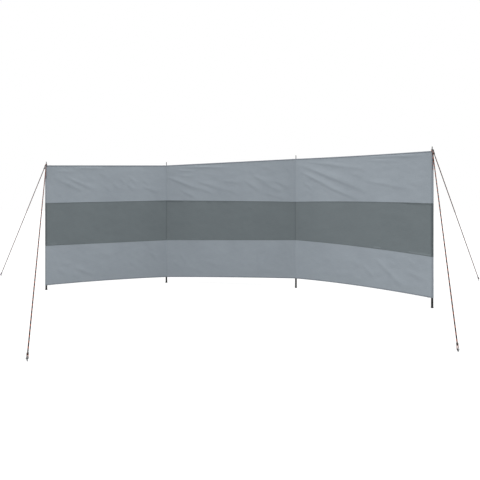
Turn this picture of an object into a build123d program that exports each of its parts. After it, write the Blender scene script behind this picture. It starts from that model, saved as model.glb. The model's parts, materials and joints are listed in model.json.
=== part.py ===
"""A beach windbreak: three striped cloth bays on four poles, stayed by guy ropes at both ends.

Millimetres, +Z up. The origin is on the ground, at the foot of the left end pole. The middle
bay runs along +X, and the sheltered side faces -Y. Both outer bays turn towards that side.
"""

import math
import os

from build123d import *

os.makedirs("parts", exist_ok=True)

# Plan: length of each bay, pole axis to pole axis, and its heading from +X
BAY_LENGTH = [1440, 1620, 1620]
BAY_HEADING = [36.0, 0.0, -32.5]

# Heights at each pole, from the ground up: gap below the cloth, then the three sewn bands
GROUND_GAP = [54, 73, 112, 96]
LOWER_BAND = [456, 464, 453, 392]
MIDDLE_BAND = [494, 501, 454, 510]
UPPER_BAND = [434, 440, 507, 499]

# Bow of each sewn edge: how far it stands above a straight line, half way along each bay
BOTTOM_BOW = [10, 5, 18]
LOWER_SEAM_BOW = [0, 0, 14]
UPPER_SEAM_BOW = [0, 2, 10]
TOP_BOW = [0, 0, -5]

# Cloth
CLOTH = 2.0
HEM_HEIGHT = 14.0
HEM_PROUD = 1.2
SLEEVE_GAP = 1.5
SLEEVE_LEAVE = 30.0
SLEEVE_FLANGE = 12.0
EYELET_GAP = 0.3

# Pole tube, its ferrule and its top pin
POLE_DIA = 19.0
POLE_WALL = 1.0
FIT = 0.2
FOOT_WALL = 1.0
FOOT_FLOOR = 6.0
FOOT_LAP = 15.0
FOOT_FLARE = 1.5
FLARE_HEIGHT = 9.0
FLARE_TAPER = 8.0
PIN_DIA = 8.0
PIN_RISE = 43.0
PIN_TIP = 2.0
COLLAR_DIA = 10.0
COLLAR_PROUD = 0.5
SHOULDER = 3.0
SPIGOT = 30.0

# Guy rope, its eye over the pin and its eye round the peg
ROPE_DIA = 9.0
ROPE_GAP = 0.3
PIN_EYE = 46.0
PEG_EYE = 32.0
PEG_EYE_EASE = 1.2
WHIPPING_DIA = 11.5
WHIPPING_LENGTH = 16.0
WHIPPING_EASE = 0.8
STRAND_GAP = 0.6
TAIL_LENGTH = 150.0

# Ground peg: a bent rod, square to its rope, that leans away from the pole
PEG_DIA = 7.0
PEG_CATCH = 24.0
PEG_NECK = 15.0
HOOK_RADIUS = 9.0
HOOK_TIP = 10.0

# Guy ropes, two at each end pole: heading from +X, and reach along the ground from pole to peg
GUY_HEADING = {"left_back": 145.5, "left_front": -59.9, "right_front": -92.9, "right_back": 66.5}
GUY_REACH = {"left_back": 1498, "left_front": 2789, "right_front": 1496, "right_back": 2192}
LOWER_EYES = ("left_back", "right_front")
TAILED = ("left_front", "right_front")

# Sides of the polygons that stand for the round rope and the round rod of the pegs
ROPE_SIDES = 8
ROD_SIDES = 8

POLE_R = POLE_DIA / 2
PIN_R = PIN_DIA / 2
ROPE_R = ROPE_DIA / 2
PEG_R = PEG_DIA / 2
POCKET_R = POLE_R + SLEEVE_GAP
RIM_R = POCKET_R + CLOTH


def heading(degrees):
    """Unit vector along a heading, from +X."""
    return Vector(1, 0, 0).rotate(Axis.Z, degrees)


def pole_places():
    """Axis of each pole on the ground."""
    places = [Vector(0, 0, 0)]
    for length, turn in zip(BAY_LENGTH, BAY_HEADING):
        places.append(places[-1] + heading(turn) * length)
    return places


POLES = pole_places()
HEM_BOTTOM = list(GROUND_GAP)
LOWER_SEAM = [a + b for a, b in zip(HEM_BOTTOM, LOWER_BAND)]
UPPER_SEAM = [a + b for a, b in zip(LOWER_SEAM, MIDDLE_BAND)]
HEM_TOP = [a + b for a, b in zip(UPPER_SEAM, UPPER_BAND)]


def save(builder, name):
    """Labels a finished piece and writes its STEP file."""
    builder.part.label = name
    export_step(builder.part, f"parts/{name}.step")


def half_turn(pole):
    """Half the change of heading at a pole, which is 0 at the two ends."""
    if pole in (0, len(POLES) - 1):
        return 0.0
    return (BAY_HEADING[pole - 1] - BAY_HEADING[pole]) / 2


def edge_line(edge, bay, start, end):
    """A sewn edge of one bay, from start to end along it: straight, or an arc where the edge bows."""
    heights, bows = edge

    def point(along):
        share = along / BAY_LENGTH[bay]
        level = heights[bay] + (heights[bay + 1] - heights[bay]) * share
        return (along, level + 4 * bows[bay] * share * (1 - share))

    if bows[bay] == 0:
        return Line(point(start), point(end))
    return ThreePointArc(point(start), point((start + end) / 2), point(end))


def bay_strip(bay, low, high, front, thickness):
    """A strip of one bay between two sewn edges.

    front is the distance of its front face from the pole axes, on the sheltered side.
    """
    start = front * math.tan(math.radians(half_turn(bay)))
    end = BAY_LENGTH[bay] - front * math.tan(math.radians(half_turn(bay + 1)))
    plane = Plane(origin=POLES[bay], x_dir=heading(BAY_HEADING[bay]), z_dir=heading(BAY_HEADING[bay] - 90))
    with BuildPart() as strip:
        with BuildSketch(plane.offset(front)):
            with BuildLine():
                lower = edge_line(low, bay, start, end)
                upper = edge_line(high, bay, start, end)
                Line(lower @ 0, upper @ 0)
                Line(lower @ 1, upper @ 1)
            make_face()
        extrude(amount=-thickness)
    return strip


# Sewn edges of the cloth, each with its heights at the poles and its bow in each bay
EDGES = {
    "bottom": (HEM_BOTTOM, BOTTOM_BOW),
    "bottom_inner": ([z + HEM_HEIGHT for z in HEM_BOTTOM], BOTTOM_BOW),
    "lower_seam": (LOWER_SEAM, LOWER_SEAM_BOW),
    "upper_seam": (UPPER_SEAM, UPPER_SEAM_BOW),
    "top_inner": ([z - HEM_HEIGHT for z in HEM_TOP], TOP_BOW),
    "top": (HEM_TOP, TOP_BOW),
}

# Cloth bays: three bands sewn edge to edge, with a turned hem at the top and the bottom
BANDS = {
    "lower_band": ("bottom_inner", "lower_seam"),
    "middle_band": ("lower_seam", "upper_seam"),
    "upper_band": ("upper_seam", "top_inner"),
}
HEMS = {
    "bottom_hem": ("bottom", "bottom_inner"),
    "top_hem": ("top_inner", "top"),
}
for bay in range(len(BAY_LENGTH)):
    for name, (low, high) in BANDS.items():
        strip = bay_strip(bay, EDGES[low], EDGES[high], RIM_R, CLOTH)
        save(strip, f"bay_{bay + 1}_{name}")
    for name, (low, high) in HEMS.items():
        strip = bay_strip(bay, EDGES[low], EDGES[high], RIM_R + HEM_PROUD, CLOTH + HEM_PROUD)
        save(strip, f"bay_{bay + 1}_{name}")


def tangent_point(point, radius):
    """Where a line from a point, left of the axis, meets the back of a circle about the axis."""
    distance = math.hypot(point[0], point[1])
    angle = math.atan2(point[1], point[0]) - math.acos(radius / distance)
    return (radius * math.cos(angle), radius * math.sin(angle))


def mirrored(point):
    """The same point on the other side of the pole."""
    return (-point[0], point[1])


# Pole sleeves: a strip of cloth round the back of each pole, sewn to the cloth on both sides.
# At an end pole the cloth itself turns round the pole and comes back to its own rear face.
for index, place in enumerate(POLES):
    lean = math.radians(half_turn(index))
    first = index == 0
    last = index == len(POLES) - 1
    if first:
        facing = BAY_HEADING[0]
    elif last:
        facing = BAY_HEADING[-1]
    else:
        facing = (BAY_HEADING[index - 1] + BAY_HEADING[index]) / 2
    wall = (POCKET_R * math.sin(lean), -POCKET_R * math.cos(lean))
    leave = (wall[0] - SLEEVE_LEAVE * math.cos(lean), wall[1] - SLEEVE_LEAVE * math.sin(lean))
    reach = SLEEVE_LEAVE + SLEEVE_FLANGE
    tip = (wall[0] - reach * math.cos(lean), wall[1] - reach * math.sin(lean))
    touch = tangent_point(leave, POCKET_R)
    ground = Plane(origin=place, x_dir=heading(facing), z_dir=(0, 0, 1))
    with BuildPart() as sleeve:
        with BuildSketch(ground.offset(HEM_BOTTOM[index])):
            with BuildLine():
                if first:
                    ThreePointArc((0, -POCKET_R), (-POCKET_R, 0), mirrored(touch))
                    Polyline(mirrored(touch), mirrored(leave), mirrored(tip))
                elif last:
                    Polyline(tip, leave, touch)
                    ThreePointArc(touch, (POCKET_R, 0), (0, -POCKET_R))
                else:
                    Polyline(tip, leave, touch)
                    ThreePointArc(touch, (0, POCKET_R), mirrored(touch))
                    Polyline(mirrored(touch), mirrored(leave), mirrored(tip))
                offset(amount=CLOTH, side=Side.LEFT, kind=Kind.INTERSECTION)
            make_face()
        extrude(amount=HEM_TOP[index] - HEM_BOTTOM[index])
        with BuildSketch(ground.offset(HEM_TOP[index])):
            Circle(POCKET_R)
            Circle(COLLAR_DIA / 2 + EYELET_GAP, mode=Mode.SUBTRACT)
        extrude(amount=-CLOTH)
    save(sleeve, f"pole_sleeve_{index + 1}")


# Poles: a steel tube on a black ferrule, with a turned pin. The pin's shoulder carries the
# cloth, and its collar fills the eyelet, so that the slim end above is free for a rope's eye.
for index, place in enumerate(POLES):
    shoulder_top = HEM_TOP[index] - CLOTH
    tube_top = shoulder_top - SHOULDER
    ground = Plane(origin=place)
    upright = Plane(origin=place, x_dir=(1, 0, 0), z_dir=(0, -1, 0))
    bore_r = POLE_R + FIT / 2
    foot_r = bore_r + FOOT_WALL - FIT / 2
    foot_top = HEM_BOTTOM[index] + FOOT_LAP

    with BuildPart() as tube:
        with BuildSketch(ground.offset(FOOT_FLOOR)):
            Circle(POLE_R)
            Circle(POLE_R - POLE_WALL, mode=Mode.SUBTRACT)
        extrude(amount=tube_top - FOOT_FLOOR)
    save(tube, f"pole_{index + 1}")

    with BuildPart() as foot:
        with BuildSketch(upright):
            with BuildLine():
                Polyline(
                    (0, 0),
                    (foot_r + FOOT_FLARE, 0),
                    (foot_r + FOOT_FLARE, FLARE_HEIGHT),
                    (foot_r, FLARE_HEIGHT + FLARE_TAPER),
                    (foot_r, foot_top),
                    (bore_r, foot_top),
                    (bore_r, FOOT_FLOOR),
                    (0, FOOT_FLOOR),
                    close=True,
                )
            make_face()
        revolve(axis=Axis(place, (0, 0, 1)))
    save(foot, f"pole_foot_{index + 1}")

    with BuildPart() as pin:
        with BuildSketch(ground.offset(tube_top - SPIGOT)):
            Circle(POLE_R - POLE_WALL - FIT / 2)
        extrude(amount=SPIGOT)
        with BuildSketch(ground.offset(tube_top)):
            Circle(POLE_R)
        extrude(amount=SHOULDER)
        with BuildSketch(ground.offset(shoulder_top)):
            Circle(COLLAR_DIA / 2)
        extrude(amount=CLOTH + COLLAR_PROUD)
        with BuildSketch(ground.offset(shoulder_top)):
            Circle(PIN_R)
        extrude(amount=CLOTH + PIN_RISE)
        chamfer(pin.edges().sort_by(Axis.Z)[-1], PIN_TIP)
    save(pin, f"pole_pin_{index + 1}")


def whipping(plane, width):
    """Twine bound round two strands, from a plane square to them: a short barrel with eased ends."""
    with BuildPart() as band:
        with BuildSketch(plane):
            SlotCenterToCenter(width, WHIPPING_DIA)
        extrude(amount=WHIPPING_LENGTH)
        chamfer(band.edges().filter_by(plane), WHIPPING_EASE)
    return band.part


def rope_tube(points, radii):
    """A stretch of rope along straight runs that arcs join."""
    with BuildPart() as tube:
        with BuildLine() as path:
            FilletPolyline(*points, radius=radii)
        with BuildSketch(Plane(origin=points[0], z_dir=points[1] - points[0])):
            RegularPolygon(ROPE_R, ROPE_SIDES)
        sweep(path=path.wires()[0])
    return tube.part


# Guy ropes: an eye over the pin, a taut run, and an eye round the peg, each eye bound with twine
for name, reach in GUY_REACH.items():
    pole = POLES[0] if name.startswith("left") else POLES[-1]
    hem_top = HEM_TOP[0] if name.startswith("left") else HEM_TOP[-1]
    out = heading(GUY_HEADING[name])
    side = Vector(0, 0, 1).cross(out)
    peg_foot = pole + out * reach
    ring_z = hem_top + ROPE_R + ROPE_GAP
    if name not in LOWER_EYES:
        ring_z += ROPE_DIA + ROPE_GAP
    bend = pole + out * (RIM_R + HEM_PROUD + ROPE_R) + Vector(0, 0, ring_z)

    # The run goes from the bend to the catch point, and the peg stands square to it
    slope = math.atan2(ring_z, (peg_foot - bend).dot(out))
    for _ in range(8):
        lean = out * math.sin(slope) + Vector(0, 0, math.cos(slope))
        catch = peg_foot + lean * PEG_CATCH
        slope = math.atan2(bend.Z - catch.Z, (catch - bend).dot(out))
    down = (catch - bend).normalized()

    # Both eyes have the run's line as their middle, and each ends at its twine
    pin_eye_r = PIN_R + ROPE_R + ROPE_GAP
    peg_eye_r = PEG_R + ROPE_R + ROPE_GAP
    peg_eye_half = side * (peg_eye_r + PEG_EYE_EASE)
    upper_twine = bend + down * PIN_EYE
    lower_twine = catch - down * PEG_EYE
    pin_at = pole + Vector(0, 0, ring_z)
    beside = side * (ROPE_R + STRAND_GAP / 2)
    bite = down * (WHIPPING_LENGTH / 4)
    pin_eye = [
        upper_twine + beside + bite,
        bend + side * pin_eye_r,
        pin_at - out * pin_eye_r + side * pin_eye_r,
        pin_at - out * pin_eye_r - side * pin_eye_r,
        bend - side * pin_eye_r,
        upper_twine - beside + bite,
    ]
    peg_eye = [
        lower_twine + beside - bite,
        catch + down * peg_eye_r + peg_eye_half,
        catch + down * peg_eye_r - peg_eye_half,
        lower_twine - beside - bite,
    ]
    with BuildPart() as rope:
        add(rope_tube(pin_eye, [ROPE_DIA, pin_eye_r * 0.95, pin_eye_r * 0.95, ROPE_DIA]))
        add(rope_tube(peg_eye, [peg_eye_r * 0.95, peg_eye_r * 0.95]))
        with BuildSketch(Plane(origin=upper_twine + bite * 3, z_dir=down)):
            RegularPolygon(ROPE_R, ROPE_SIDES)
        extrude(amount=(lower_twine - upper_twine - bite * 6).length)
        add(whipping(Plane(origin=upper_twine, x_dir=side, z_dir=down), 2 * beside.length))
        add(whipping(Plane(origin=lower_twine, x_dir=side, z_dir=-down), 2 * beside.length))
        if name in TAILED:
            with BuildSketch(Plane(origin=upper_twine + bite * 2, z_dir=(0, 0, -1))):
                RegularPolygon(ROPE_R, ROPE_SIDES)
            extrude(amount=TAIL_LENGTH)
    save(rope, f"guy_rope_{name}")

    # Peg: the rod comes out of the ground, passes the rope, and hooks over away from the pole
    with BuildPart() as peg:
        below = peg_foot - lean * PEG_DIA * 2
        neck = catch + lean * PEG_NECK
        crown = neck + lean * HOOK_RADIUS + down * HOOK_RADIUS
        hooked = neck + down * HOOK_RADIUS * 2
        with BuildLine() as rod:
            Line(below, neck)
            ThreePointArc(neck, crown, hooked)
            Line(hooked, hooked - lean * HOOK_TIP)
        with BuildSketch(Plane(origin=below, z_dir=lean)):
            RegularPolygon(PEG_R, ROD_SIDES)
        sweep(path=rod.line)
        split(bisect_by=Plane.XY, keep=Keep.TOP)
    save(peg, f"ground_peg_{name}")
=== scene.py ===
"""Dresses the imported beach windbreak: cloth with drag folds, hems, stitches, braided guy ropes and metal.

Everything is in metres, in the frame of the CAD model: the origin is on the ground at the left end
pole, the middle bay runs along +X and the sheltered side faces -Y.
"""

import json
import logging
import math
from collections.abc import Callable, Iterator, Sequence
from contextlib import contextmanager
from dataclasses import dataclass
from enum import Enum
from functools import partial
from typing import Any

import bmesh
import bpy
import numpy as np
from mathutils import Matrix, Vector, noise

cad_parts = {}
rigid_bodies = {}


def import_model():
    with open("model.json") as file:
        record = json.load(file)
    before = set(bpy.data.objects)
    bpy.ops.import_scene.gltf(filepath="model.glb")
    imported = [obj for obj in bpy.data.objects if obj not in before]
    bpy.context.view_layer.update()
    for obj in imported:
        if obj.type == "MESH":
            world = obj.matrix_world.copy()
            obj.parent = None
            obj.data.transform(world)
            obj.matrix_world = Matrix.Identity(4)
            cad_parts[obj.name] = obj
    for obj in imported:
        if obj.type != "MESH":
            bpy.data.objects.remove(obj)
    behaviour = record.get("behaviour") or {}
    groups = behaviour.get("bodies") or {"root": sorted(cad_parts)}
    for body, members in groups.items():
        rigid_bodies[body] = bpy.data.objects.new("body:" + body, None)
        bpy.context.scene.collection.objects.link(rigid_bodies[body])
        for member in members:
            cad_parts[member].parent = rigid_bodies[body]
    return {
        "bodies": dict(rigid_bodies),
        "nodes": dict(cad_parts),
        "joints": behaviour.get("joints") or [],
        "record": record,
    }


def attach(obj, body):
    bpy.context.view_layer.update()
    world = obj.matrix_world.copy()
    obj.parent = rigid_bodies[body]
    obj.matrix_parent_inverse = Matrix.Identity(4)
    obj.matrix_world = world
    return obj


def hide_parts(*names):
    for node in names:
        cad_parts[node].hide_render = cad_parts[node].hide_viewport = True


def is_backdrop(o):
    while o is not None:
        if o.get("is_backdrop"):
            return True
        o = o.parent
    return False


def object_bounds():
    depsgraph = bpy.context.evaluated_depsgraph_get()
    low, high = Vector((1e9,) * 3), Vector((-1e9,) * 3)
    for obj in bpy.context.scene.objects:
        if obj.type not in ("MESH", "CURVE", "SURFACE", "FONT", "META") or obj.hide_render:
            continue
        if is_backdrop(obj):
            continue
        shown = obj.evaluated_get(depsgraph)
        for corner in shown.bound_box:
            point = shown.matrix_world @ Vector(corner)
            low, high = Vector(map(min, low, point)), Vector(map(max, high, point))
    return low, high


LOG = logging.getLogger("windbreak")
BODY = "root"
UV_MAP = "UVMap"
UP = Vector((0.0, 0.0, 1.0))
WHITE = (1.0, 1.0, 1.0, 1.0)

Piece = bpy.types.Object
Finish = bpy.types.Material
Node = bpy.types.Node
Adder = Callable[..., Node]
Path = list[Vector]


class Slot(Enum):
    """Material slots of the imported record."""

    LIGHT_CLOTH = "light_cloth"
    DARK_CLOTH = "dark_cloth"
    HEM_CLOTH = "hem_cloth"
    SLEEVE_CLOTH = "sleeve_cloth"
    POLE_STEEL = "pole_steel"
    FOOT_PLASTIC = "foot_plastic"
    PIN_STEEL = "pin_steel"
    GUY_ROPE = "guy_rope"
    PEG_STEEL = "peg_steel"


class Edge(Enum):
    """The four sewn levels of the cloth, from the ground up."""

    HEM_BOTTOM = 0
    LOWER_SEAM = 1
    UPPER_SEAM = 2
    HEM_TOP = 3


class Face(Enum):
    """The two faces of the cloth."""

    FRONT = "sheltered"
    REAR = "windward"


@dataclass(frozen=True)
class Layout:
    """Plan and heights of the windbreak, as the CAD source has them.

    levels holds the height of each sewn edge at each pole, from the ground. bows holds how far each edge
    stands above a straight line, half way along each bay. Offsets are measured from the pole axes to the
    sheltered side.
    """

    bay_lengths: tuple[float, ...] = (1.440, 1.620, 1.620)
    bay_headings: tuple[float, ...] = (36.0, 0.0, -32.5)
    levels: tuple[tuple[float, ...], ...] = (
        (0.054, 0.073, 0.112, 0.096),
        (0.510, 0.537, 0.565, 0.488),
        (1.004, 1.038, 1.019, 0.998),
        (1.438, 1.478, 1.526, 1.497),
    )
    bows: tuple[tuple[float, ...], ...] = (
        (0.010, 0.005, 0.018),
        (0.0, 0.0, 0.014),
        (0.0, 0.002, 0.010),
        (0.0, 0.0, -0.005),
    )
    cloth_front: float = 0.0130
    cloth_back: float = 0.0116
    hem_height: float = 0.014
    hem_proud: float = 0.0012
    pocket_radius: float = 0.0116
    sleeve_leave: float = 0.030
    sleeve_flange: float = 0.012

    @property
    def bays(self) -> int:
        """Number of bays."""
        return len(self.bay_lengths)

    @property
    def poles(self) -> Path:
        """Axis of each pole on the ground."""
        places = [Vector((0.0, 0.0, 0.0))]
        for length, turn in zip(self.bay_lengths, self.bay_headings):
            places.append(places[-1] + heading(turn) * length)
        return places

    def half_turn(self, pole: int) -> float:
        """Half the change of heading at a pole, in radians, which is 0 at the two ends."""
        if pole in (0, self.bays):
            return 0.0
        return math.radians(self.bay_headings[pole - 1] - self.bay_headings[pole]) / 2

    def level(self, edge: Edge, pole: int) -> float:
        """Height of a sewn edge at a pole."""
        return self.levels[edge.value][pole]


def heading(degrees: float) -> Vector:
    """Level unit vector along a heading, in degrees anticlockwise from +X."""
    angle = math.radians(degrees)
    return Vector((math.cos(angle), math.sin(angle), 0.0))


def linear(code: str) -> tuple[float, float, float, float]:
    """Turns an sRGB hex colour into the linear values that Blender's sockets take.

    Args:
        code: A colour such as "#8d949b".

    Returns:
        Linear red, green, blue, and an alpha of 1.
    """
    values = [int(code[i : i + 2], 16) / 255 for i in (1, 3, 5)]
    red, green, blue = (v / 12.92 if v <= 0.04045 else ((v + 0.055) / 1.055) ** 2.4 for v in values)
    return (red, green, blue, 1.0)


def add_node(tree: bpy.types.NodeTree, kind: str, inputs: dict | Sequence = (), **settings: Any) -> Node:
    """Adds a node with its settings, its input values and its links.

    Args:
        tree: The node tree that gets the node.
        kind: The node's type name.
        inputs: Numbers, output sockets or nodes, by the name of the input they go to or in the inputs'
            order. A node stands for its first output that is in use.
        **settings: Properties of the node itself.

    Returns:
        The new node.
    """
    made = tree.nodes.new(kind)
    for name, value in settings.items():
        setattr(made, name, value)
    pairs = inputs.items() if isinstance(inputs, dict) else enumerate(inputs)
    for key, value in pairs:
        into = next(s for i, s in enumerate(made.inputs) if key == i or (key == s.name and s.enabled))
        if isinstance(value, Node):
            value = next(socket for socket in value.outputs if socket.enabled)
        if isinstance(value, bpy.types.NodeSocket):
            tree.links.new(value, into)
        else:
            into.default_value = value
    return made


def new_material(name: str) -> tuple[Finish, Adder]:
    """Makes an empty node material.

    Args:
        name: The material's name.

    Returns:
        The material, and add_node for its tree.
    """
    material = bpy.data.materials.new(name)
    material.use_nodes = True
    material.node_tree.nodes.clear()
    return material, partial(add_node, material.node_tree)


def finish_material(add: Adder, **inputs: Any) -> None:
    """Closes a material with a Principled shader and an output.

    Args:
        add: Adds nodes to the material's tree.
        **inputs: The shader's values and links, with _ for each space in a name.
    """
    named = {name.replace("_", " "): value for name, value in inputs.items()}
    add("ShaderNodeOutputMaterial", {"Surface": add("ShaderNodeBsdfPrincipled", named)})


def painted(add: Adder, ground: str, *layers: tuple[Any, float, float, float, str]) -> Node:
    """Lays colours over a ground colour, each where its pattern is high.

    Args:
        add: Adds nodes to the material's tree.
        ground: The colour that lies below.
        *layers: Each layer's pattern, the two values between which it comes in, its full share and its
            colour.

    Returns:
        The node that gives the mixed colour.
    """
    colour: Any = linear(ground)
    for pattern, low, high, share, tint in layers:
        cover = add("ShaderNodeMapRange", [pattern, low, high, 0.0, share])
        colour = add("ShaderNodeMix", {"Factor": cover, "A": colour, "B": linear(tint)}, data_type="RGBA")
    return colour


def winding(add: Adder, turn: Any, run: Any, starts: Any, lay: Any, hand: int = 1) -> Node:
    """A wave whose crests wind round a cord.

    Args:
        add: Adds nodes to the tree.
        turn: Place round the cord, from 0 to 1.
        run: Place along the cord, in metres.
        starts: Number of crests round the cord.
        lay: Distance from crest to crest along the cord, in metres.
        hand: 1 or -1, the way that it winds.

    Returns:
        The wave's node, from -1 to 1.
    """
    around = add("ShaderNodeMath", [turn, 2 * math.pi], operation="MULTIPLY")
    crests = add("ShaderNodeMath", [around, starts], operation="MULTIPLY")
    lays = add("ShaderNodeMath", [run, lay], operation="DIVIDE")
    wound = add("ShaderNodeMath", [lays, hand * 2 * math.pi], operation="MULTIPLY")
    angle = add("ShaderNodeMath", [crests, wound], operation="ADD")
    return add("ShaderNodeMath", [angle], operation="COSINE")


@dataclass(frozen=True)
class WovenCloth:
    """Plain-woven polyester, coated on the rear.

    Its threads are about 0.4 mm apart, which is far too fine to show, so the weave is drawn at
    thread_spacing. Slubs, the thicker places of a yarn, are drawn 4 mm high for the same reason.
    """

    name: str
    colour: str
    shade: str
    glint: str
    stripe: str | None = None
    stripe_shade: str = "#474d50"
    thread_spacing: float = 0.0022
    slub_length: float = 0.055
    slub_height: float = 0.004
    weave_relief: float = 0.00012

    def build(self) -> Finish:
        """Builds the material. Its pattern follows the cloth's own UV map, which is in metres."""
        material, add = new_material(self.name)
        place = add("ShaderNodeUVMap", uv_map=UV_MAP)
        threads = []
        for axis in add("ShaderNodeSeparateXYZ", [place]).outputs[:2]:
            phase = add("ShaderNodeMath", [axis, math.pi / self.thread_spacing], operation="MULTIPLY")
            threads.append(add("ShaderNodeMath", [phase], operation="SINE"))
        weave = add("ShaderNodeMath", threads, operation="MULTIPLY")
        slub_scale = (1 / self.slub_length, 1 / self.slub_height, 1.0)
        slub_place = add("ShaderNodeMapping", {"Vector": place, "Scale": slub_scale})
        slubs = add("ShaderNodeTexNoise", {"Vector": slub_place, "Scale": 1.0, "Detail": 2.0})
        patches = add("ShaderNodeTexNoise", {"Vector": place, "Scale": 3.2, "Detail": 3.0, "Roughness": 0.55})
        woven = painted(
            add,
            self.shade,
            (patches, 0.3, 0.7, 1.0, self.colour),
            (slubs, 0.35, 0.75, 0.35, self.glint),
            (weave, -1.0, 1.0, 0.12, self.shade),
        )
        if self.stripe:
            # The end sleeves are the cloth's own end, so the dark stripe runs round them
            dark = painted(add, self.stripe, (weave, -1.0, 1.0, 0.1, self.stripe_shade))
            inside = add("ShaderNodeAttribute", attribute_name="dark_stripe").outputs["Fac"]
            woven = add("ShaderNodeMix", {"Factor": inside, "A": woven, "B": dark}, data_type="RGBA")
        # Painted shade: cloth that lies double, at seams and over the sleeves, lets less light through, and a
        # pole behind the cloth casts its shadow through it; both are darkened into the colour
        layers = add("ShaderNodeAttribute", attribute_name="painted_cloth_shade").outputs["Fac"]
        painted_dimming = add("ShaderNodeMapRange", [layers, 0.0, 1.0, 1.0, 0.78])
        raised = add("ShaderNodeMath", [slubs, 3.0], operation="MULTIPLY")
        relief = add("ShaderNodeMath", [weave, raised], operation="ADD")
        finish_material(
            add,
            Base_Color=add("ShaderNodeHueSaturation", {"Value": painted_dimming, "Color": woven}),
            Roughness=add("ShaderNodeMapRange", [slubs, 0.3, 0.7, 0.82, 0.72]),
            Normal=add("ShaderNodeBump", {"Height": relief, "Strength": 0.35, "Distance": self.weave_relief}),
            Specular_IOR_Level=0.28,
            Sheen_Weight=0.08,
            Sheen_Roughness=0.5,
        )
        return material


@dataclass(frozen=True)
class Thread:
    """Twisted polyester thread, with a painted highlight where its plies stand up."""

    name: str
    colour: str
    highlight: str

    def build(self) -> Finish:
        """Builds the material."""
        material, add = new_material(self.name)
        place = add("ShaderNodeTexCoord").outputs["Object"]
        plies = add("ShaderNodeTexNoise", {"Vector": place, "Scale": 900.0})
        colour = painted(add, self.colour, (plies, 0.0, 1.0, 1.0, self.highlight))
        finish_material(add, Base_Color=colour, Roughness=0.6, Specular_IOR_Level=0.35)
        return material


@dataclass(frozen=True)
class GrainedMetal:
    """Metal with crystals or drawing marks, and duller, rubbed patches.

    crystal is the size of its crystals, and stretch draws them out along Z.
    """

    name: str
    colour: str
    dull: str
    crystal: float
    roughness: tuple[float, float]
    stretch: float = 1.0

    def build(self) -> Finish:
        """Builds the material."""
        material, add = new_material(self.name)
        place = add("ShaderNodeTexCoord").outputs["Object"]
        drawn = add("ShaderNodeMapping", {"Vector": place, "Scale": (1.0, 1.0, 1.0 / self.stretch)})
        inputs = {"Vector": drawn, "Scale": 1 / self.crystal}
        cells = add("ShaderNodeTexVoronoi", inputs, distance="CHEBYCHEV")
        facets = add("ShaderNodeSeparateColor", [cells.outputs["Color"]])
        rubbed = add("ShaderNodeTexNoise", {"Vector": drawn, "Scale": 0.12 / self.crystal, "Detail": 4.0})
        halves = [add("ShaderNodeMath", [part, 0.5], operation="MULTIPLY") for part in (facets, rubbed)]
        grain = add("ShaderNodeMath", halves, operation="ADD")
        finish_material(
            add,
            Base_Color=painted(add, self.dull, (grain, 0.0, 1.0, 1.0, self.colour)),
            Metallic=0.85,
            Roughness=add("ShaderNodeMapRange", [grain, 0.2, 0.8, *self.roughness]),
            Normal=add("ShaderNodeBump", {"Height": grain, "Strength": 0.2, "Distance": self.crystal * 0.05}),
        )
        return material


@dataclass(frozen=True)
class MouldedPlastic:
    """Injection-moulded plastic with a fine spark-eroded grain, whose size is grain, greyed by sand."""

    name: str
    colour: str
    worn: str
    roughness: tuple[float, float]
    grain: float = 0.0009

    def build(self) -> Finish:
        """Builds the material."""
        material, add = new_material(self.name)
        place = add("ShaderNodeTexCoord").outputs["Object"]
        texture = add("ShaderNodeTexNoise", {"Vector": place, "Scale": 1 / self.grain, "Detail": 2.0})
        scuffs = add("ShaderNodeTexNoise", {"Vector": place, "Scale": 90.0, "Detail": 5.0, "Roughness": 0.7})
        finish_material(
            add,
            Base_Color=painted(add, self.colour, (scuffs, 0.52, 0.75, 0.5, self.worn)),
            Roughness=add("ShaderNodeMapRange", [scuffs, 0.3, 0.7, *self.roughness]),
            Normal=add("ShaderNodeBump", {"Height": texture, "Strength": 0.4, "Distance": self.grain * 0.1}),
            IOR=1.5,
            Specular_IOR_Level=0.35,
        )
        return material


@dataclass(frozen=True)
class BraidedCord:
    """Braided cord with flecks where a tracer yarn comes up, once in each fleck_pitch.

    Its UV map runs once round the cord in U and along it, in metres, in V.
    """

    name: str
    ground: str
    worn: str
    tracer: str
    fleck_pitch: float = 0.055
    plait_pitch: float = 0.012
    plaits: int = 3

    def build(self) -> Finish:
        """Builds the material."""
        material, add = new_material(self.name)
        place = add("ShaderNodeUVMap", uv_map=UV_MAP)
        turn, run = add("ShaderNodeSeparateXYZ", [place]).outputs[:2]
        crossing = [winding(add, turn, run, self.plaits, self.plait_pitch, hand) for hand in (1, -1)]
        braid = add("ShaderNodeMath", crossing, operation="MULTIPLY")
        fleck = add("ShaderNodeMapRange", [winding(add, turn, run, 1, self.fleck_pitch), 0.5, 0.72])
        over = add("ShaderNodeMapRange", [braid, -0.55, 0.1, 0.25, 1.0])
        tracer = add("ShaderNodeMath", [fleck, over], operation="MULTIPLY")
        yarn = add("ShaderNodeTexNoise", {"Vector": place, "Scale": 700.0})
        layers = ((yarn, 0.0, 1.0, 1.0, self.worn), (tracer, 0.0, 1.0, 1.0, self.tracer))
        finish_material(
            add,
            Base_Color=painted(add, self.ground, *layers),
            Roughness=0.8,
            Normal=add("ShaderNodeBump", {"Height": braid, "Strength": 0.6, "Distance": 0.0004}),
            Specular_IOR_Level=0.2,
        )
        return material


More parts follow.
